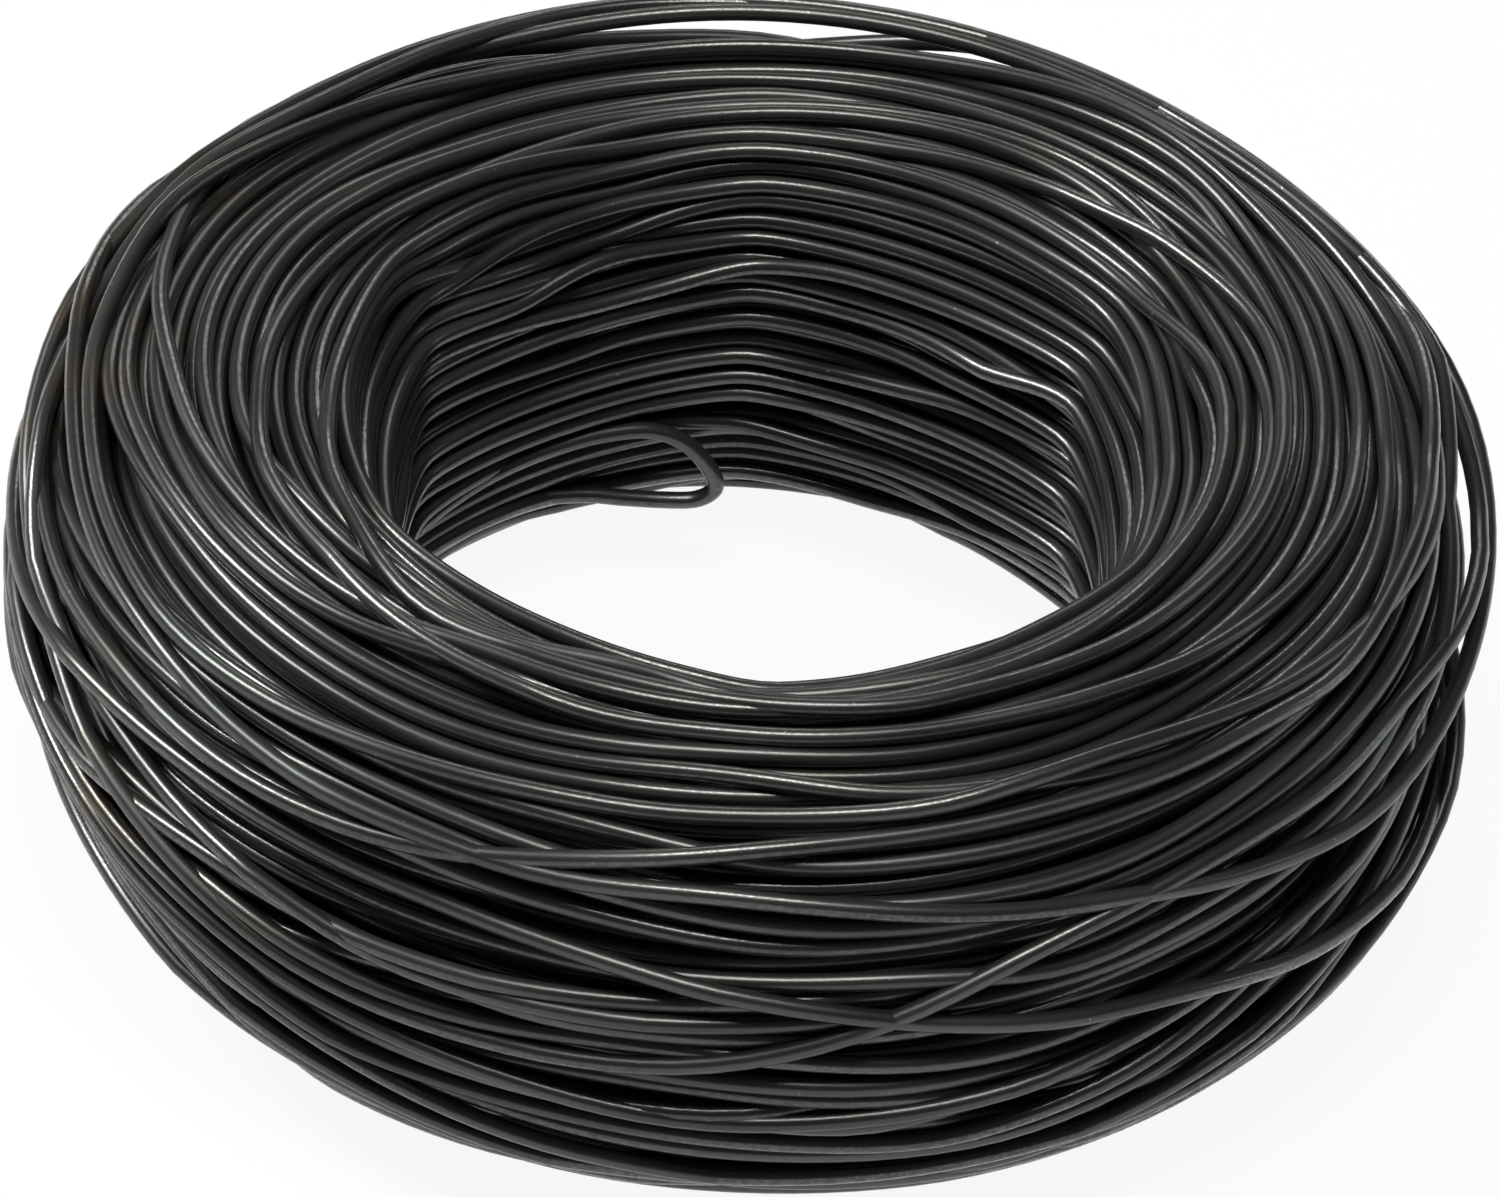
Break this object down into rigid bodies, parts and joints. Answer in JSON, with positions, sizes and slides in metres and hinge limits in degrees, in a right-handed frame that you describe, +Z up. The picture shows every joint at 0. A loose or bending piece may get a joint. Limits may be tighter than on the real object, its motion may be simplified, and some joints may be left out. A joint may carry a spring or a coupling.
{
  "type": "coil of binding wire",
  "caption": "Round coil of black annealed steel binding wire with an open bore, lying flat on its end, for tying reinforcement and bundles.",
  "frame": {"origin": "middle of the footprint, on the floor that the coil lies on", "axes": "+Z up along the axis of the coil, -Y towards the front of the picture, +X to its right"},
  "size_m": [0.13, 0.13, 0.048],
  "materials": {
    "annealed_wire": "black annealed steel, smooth with a dull sheen along the wire"
  },
  "bodies": {
    "root": {"wire_coil": "annealed_wire"}
  },
  "joints": []
}
